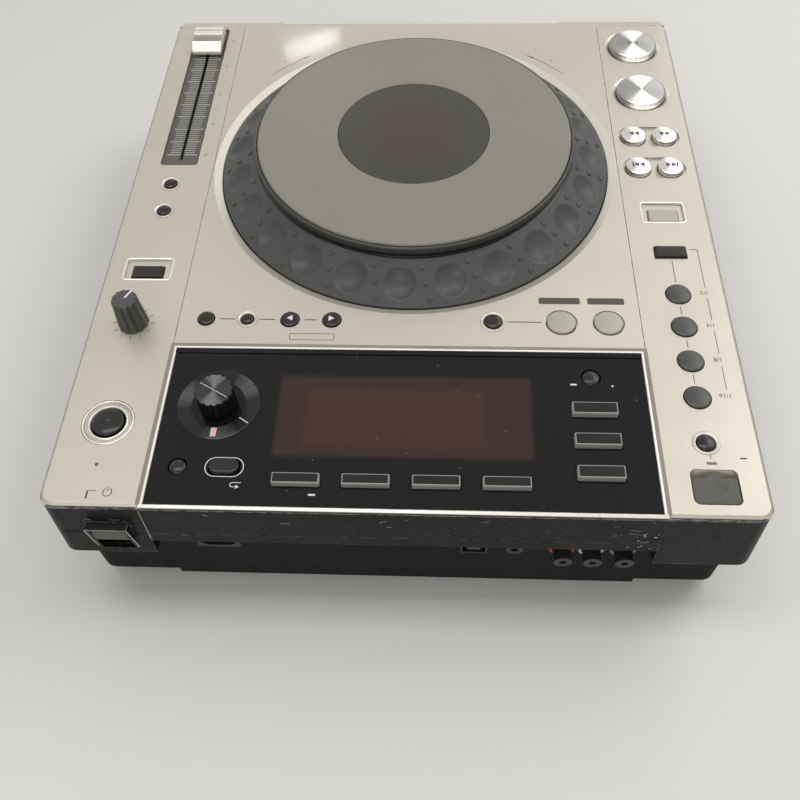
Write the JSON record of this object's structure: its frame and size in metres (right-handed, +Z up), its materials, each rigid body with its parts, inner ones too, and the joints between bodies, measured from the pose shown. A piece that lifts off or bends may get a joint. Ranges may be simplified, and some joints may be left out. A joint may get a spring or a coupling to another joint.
{
  "type": "tabletop dj cd player",
  "caption": "Flat tabletop player for mixing discs, with a dimpled jog wheel, tempo fader, sprung buttons, dark display and a slot for the disc in its front.",
  "frame": {"origin": "middle of the bounding box, on the table plane under the feet", "axes": "+Z up, +Y towards the rear sockets, +X to the user's right hand"},
  "size_m": [0.305, 0.348, 0.1056],
  "materials": {
    "silver_panel": "satin silver lacquer",
    "charcoal_case": "satin charcoal lacquer",
    "black_steel": "matt black powder coat",
    "rubber_feet": "matt",
    "zinc_screws": "zinc",
    "socket_black": "moulded",
    "scale_grey": "matt",
    "bright_steel": "plain",
    "inner_plastic": "moulded",
    "dark_screen": "dark",
    "circuit_board": "solder mask",
    "gloss_window": "gloss black",
    "chrome_key": "spun",
    "beige_key": "translucent matt",
    "dark_key": "satin",
    "grey_key": "satin",
    "gloss_key": "gloss",
    "jog_black": "satin",
    "jog_silver": "satin grey",
    "smoked_window": "smoked",
    "knob_grey": "satin",
    "silver_cap": "satin silver",
    "lid_grey": "satin"
  },
  "bodies": {
    "root": {"lower_chassis": "black_steel", "upper_case": "charcoal_case", "centre_panel": "silver_panel", "left_strip": "silver_panel", "right_strip": "silver_panel", "display_glass": "gloss_window", "rear_panel": "black_steel", "feet": "rubber_feet", "screws": "zinc_screws", "sockets": "socket_black", "fader_plate": "scale_grey", "fader_unit": "bright_steel", "jog_base": "inner_plastic", "jog_display": "dark_screen", "control_board": "circuit_board", "drive_unit": "bright_steel", "main_board": "circuit_board"},
    "play_button": {"play_button": "chrome_key"},
    "cue_button": {"cue_button": "chrome_key"},
    "search_back_button": {"search_back_button": "chrome_key"},
    "search_forward_button": {"search_forward_button": "chrome_key"},
    "track_back_button": {"track_back_button": "chrome_key"},
    "track_forward_button": {"track_forward_button": "chrome_key"},
    "direction_button": {"direction_button": "beige_key"},
    "beat_select_button": {"beat_select_button": "gloss_key"},
    "beat_loop_1_button": {"beat_loop_1_button": "dark_key"},
    "beat_loop_2_button": {"beat_loop_2_button": "dark_key"},
    "beat_loop_3_button": {"beat_loop_3_button": "dark_key"},
    "beat_loop_4_button": {"beat_loop_4_button": "dark_key"},
    "usb_stop_button": {"usb_stop_button": "dark_key"},
    "loop_in_button": {"loop_in_button": "beige_key"},
    "loop_out_button": {"loop_out_button": "beige_key"},
    "reloop_button": {"reloop_button": "dark_key"},
    "call_back_button": {"call_back_button": "dark_key"},
    "call_forward_button": {"call_forward_button": "dark_key"},
    "delete_button": {"delete_button": "dark_key"},
    "memory_button": {"memory_button": "dark_key"},
    "master_tempo_button": {"master_tempo_button": "dark_key"},
    "tempo_range_button": {"tempo_range_button": "dark_key"},
    "jog_mode_button": {"jog_mode_button": "dark_key"},
    "eject_button": {"eject_button": "dark_key"},
    "time_mode_button": {"time_mode_button": "dark_key"},
    "source_disc_button": {"source_disc_button": "grey_key"},
    "source_usb_button": {"source_usb_button": "grey_key"},
    "source_pc_button": {"source_pc_button": "grey_key"},
    "menu_button": {"menu_button": "grey_key"},
    "info_button": {"info_button": "grey_key"},
    "tag_list_button": {"tag_list_button": "grey_key"},
    "browse_button": {"browse_button": "grey_key"},
    "back_button": {"back_button": "dark_key"},
    "tag_track_button": {"tag_track_button": "dark_key"},
    "power_button": {"power_button": "dark_key"},
    "jog_wheel": {"jog_wheel": "jog_black"},
    "jog_plate": {"jog_plate": "jog_silver", "jog_window": "smoked_window"},
    "selector_shaft": {"selector_shaft": "bright_steel"},
    "selector_knob": {"selector_knob": "gloss_key"},
    "speed_knob": {"speed_knob": "knob_grey"},
    "tempo_fader": {"tempo_fader": "silver_cap"},
    "usb_lid": {"usb_lid": "lid_grey"}
  },
  "joints": [
    {"name": "play_press", "type": "slide", "parent": "root", "child": "play_button", "axis": [0, 0, -1], "range_m": [0, 0.001], "stiffness_N_per_m": 600, "springref_m": -0.001},
    {"name": "cue_press", "type": "slide", "parent": "root", "child": "cue_button", "axis": [0, 0, -1], "range_m": [0, 0.001], "stiffness_N_per_m": 600, "springref_m": -0.001},
    {"name": "search_back_press", "type": "slide", "parent": "root", "child": "search_back_button", "axis": [0, 0, -1], "range_m": [0, 0.001], "stiffness_N_per_m": 400, "springref_m": -0.001},
    {"name": "search_forward_press", "type": "slide", "parent": "root", "child": "search_forward_button", "axis": [0, 0, -1], "range_m": [0, 0.001], "stiffness_N_per_m": 400, "springref_m": -0.001},
    {"name": "track_back_press", "type": "slide", "parent": "root", "child": "track_back_button", "axis": [0, 0, -1], "range_m": [0, 0.001], "stiffness_N_per_m": 400, "springref_m": -0.001},
    {"name": "track_forward_press", "type": "slide", "parent": "root", "child": "track_forward_button", "axis": [0, 0, -1], "range_m": [0, 0.001], "stiffness_N_per_m": 400, "springref_m": -0.001},
    {"name": "direction_press", "type": "slide", "parent": "root", "child": "direction_button", "axis": [0, 0, -1], "range_m": [0, 0.001], "stiffness_N_per_m": 400, "springref_m": -0.001},
    {"name": "beat_select_press", "type": "slide", "parent": "root", "child": "beat_select_button", "axis": [0, 0, -1], "range_m": [0, 0.001], "stiffness_N_per_m": 400, "springref_m": -0.001},
    {"name": "beat_loop_1_press", "type": "slide", "parent": "root", "child": "beat_loop_1_button", "axis": [0, 0, -1], "range_m": [0, 0.001], "stiffness_N_per_m": 400, "springref_m": -0.001},
    {"name": "beat_loop_2_press", "type": "slide", "parent": "root", "child": "beat_loop_2_button", "axis": [0, 0, -1], "range_m": [0, 0.001], "stiffness_N_per_m": 400, "springref_m": -0.001},
    {"name": "beat_loop_3_press", "type": "slide", "parent": "root", "child": "beat_loop_3_button", "axis": [0, 0, -1], "range_m": [0, 0.001], "stiffness_N_per_m": 400, "springref_m": -0.001},
    {"name": "beat_loop_4_press", "type": "slide", "parent": "root", "child": "beat_loop_4_button", "axis": [0, 0, -1], "range_m": [0, 0.001], "stiffness_N_per_m": 400, "springref_m": -0.001},
    {"name": "usb_stop_press", "type": "slide", "parent": "root", "child": "usb_stop_button", "axis": [0, 0, -1], "range_m": [0, 0.001], "stiffness_N_per_m": 400, "springref_m": -0.001},
    {"name": "loop_in_press", "type": "slide", "parent": "root", "child": "loop_in_button", "axis": [0, 0, -1], "range_m": [0, 0.001], "stiffness_N_per_m": 400, "springref_m": -0.001},
    {"name": "loop_out_press", "type": "slide", "parent": "root", "child": "loop_out_button", "axis": [0, 0, -1], "range_m": [0, 0.001], "stiffness_N_per_m": 400, "springref_m": -0.001},
    {"name": "reloop_press", "type": "slide", "parent": "root", "child": "reloop_button", "axis": [0, 0, -1], "range_m": [0, 0.001], "stiffness_N_per_m": 400, "springref_m": -0.001},
    {"name": "call_back_press", "type": "slide", "parent": "root", "child": "call_back_button", "axis": [0, 0, -1], "range_m": [0, 0.001], "stiffness_N_per_m": 400, "springref_m": -0.001},
    {"name": "call_forward_press", "type": "slide", "parent": "root", "child": "call_forward_button", "axis": [0, 0, -1], "range_m": [0, 0.001], "stiffness_N_per_m": 400, "springref_m": -0.001},
    {"name": "delete_press", "type": "slide", "parent": "root", "child": "delete_button", "axis": [0, 0, -1], "range_m": [0, 0.001], "stiffness_N_per_m": 400, "springref_m": -0.001},
    {"name": "memory_press", "type": "slide", "parent": "root", "child": "memory_button", "axis": [0, 0, -1], "range_m": [0, 0.001], "stiffness_N_per_m": 400, "springref_m": -0.001},
    {"name": "master_tempo_press", "type": "slide", "parent": "root", "child": "master_tempo_button", "axis": [0, 0, -1], "range_m": [0, 0.001], "stiffness_N_per_m": 400, "springref_m": -0.001},
    {"name": "tempo_range_press", "type": "slide", "parent": "root", "child": "tempo_range_button", "axis": [0, 0, -1], "range_m": [0, 0.001], "stiffness_N_per_m": 400, "springref_m": -0.001},
    {"name": "jog_mode_press", "type": "slide", "parent": "root", "child": "jog_mode_button", "axis": [0, 0, -1], "range_m": [0, 0.001], "stiffness_N_per_m": 400, "springref_m": -0.001},
    {"name": "eject_press", "type": "slide", "parent": "root", "child": "eject_button", "axis": [0, 0, -1], "range_m": [0, 0.001], "stiffness_N_per_m": 400, "springref_m": -0.001},
    {"name": "time_mode_press", "type": "slide", "parent": "root", "child": "time_mode_button", "axis": [0, 0, -1], "range_m": [0, 0.001], "stiffness_N_per_m": 400, "springref_m": -0.001},
    {"name": "source_disc_press", "type": "slide", "parent": "root", "child": "source_disc_button", "axis": [0, 0, -1], "range_m": [0, 0.001], "stiffness_N_per_m": 400, "springref_m": -0.001},
    {"name": "source_usb_press", "type": "slide", "parent": "root", "child": "source_usb_button", "axis": [0, 0, -1], "range_m": [0, 0.001], "stiffness_N_per_m": 400, "springref_m": -0.001},
    {"name": "source_pc_press", "type": "slide", "parent": "root", "child": "source_pc_button", "axis": [0, 0, -1], "range_m": [0, 0.001], "stiffness_N_per_m": 400, "springref_m": -0.001},
    {"name": "menu_press", "type": "slide", "parent": "root", "child": "menu_button", "axis": [0, 0, -1], "range_m": [0, 0.001], "stiffness_N_per_m": 400, "springref_m": -0.001},
    {"name": "info_press", "type": "slide", "parent": "root", "child": "info_button", "axis": [0, 0, -1], "range_m": [0, 0.001], "stiffness_N_per_m": 400, "springref_m": -0.001},
    {"name": "tag_list_press", "type": "slide", "parent": "root", "child": "tag_list_button", "axis": [0, 0, -1], "range_m": [0, 0.001], "stiffness_N_per_m": 400, "springref_m": -0.001},
    {"name": "browse_press", "type": "slide", "parent": "root", "child": "browse_button", "axis": [0, 0, -1], "range_m": [0, 0.001], "stiffness_N_per_m": 400, "springref_m": -0.001},
    {"name": "back_press", "type": "slide", "parent": "root", "child": "back_button", "axis": [0, 0, -1], "range_m": [0, 0.001], "stiffness_N_per_m": 400, "springref_m": -0.001},
    {"name": "tag_track_press", "type": "slide", "parent": "root", "child": "tag_track_button", "axis": [0, 0, -1], "range_m": [0, 0.001], "stiffness_N_per_m": 400, "springref_m": -0.001},
    {"name": "power_press", "type": "slide", "parent": "root", "child": "power_button", "axis": [0, -1, 0], "range_m": [0, 0.0025], "stiffness_N_per_m": 600, "springref_m": -0.001},
    {"name": "jog_turn", "type": "hinge", "parent": "root", "child": "jog_wheel", "pos_m": [0, -0.044, 0.09], "axis": [0, 0, 1], "continuous": true},
    {"name": "jog_press", "type": "slide", "parent": "jog_wheel", "child": "jog_plate", "axis": [0, 0, -1], "range_m": [0, 0.0004], "stiffness_N_per_m": 6000, "springref_m": -0.0005},
    {"name": "selector_press", "type": "slide", "parent": "root", "child": "selector_shaft", "axis": [0, 0, -1], "range_m": [0, 0.0005], "stiffness_N_per_m": 1500, "springref_m": -0.001},
    {"name": "selector_turn", "type": "hinge", "parent": "selector_shaft", "child": "selector_knob", "pos_m": [0.0829, 0.1172, 0.09], "axis": [0, 0, 1], "continuous": true},
    {"name": "speed_turn", "type": "hinge", "parent": "root", "child": "speed_knob", "pos_m": [0.1306, 0.0715, 0.095], "axis": [0, 0, 1], "range_deg": [-150, 150]},
    {"name": "tempo_slide", "type": "slide", "parent": "root", "child": "tempo_fader", "axis": [0, 1, 0], "range_m": [0, 0.1]},
    {"name": "usb_lid_hinge", "type": "hinge", "parent": "root", "child": "usb_lid", "pos_m": [-0.12985, 0.1601, 0.0845], "axis": [-1, 0, 0], "range_deg": [0, 95]}
  ]
}
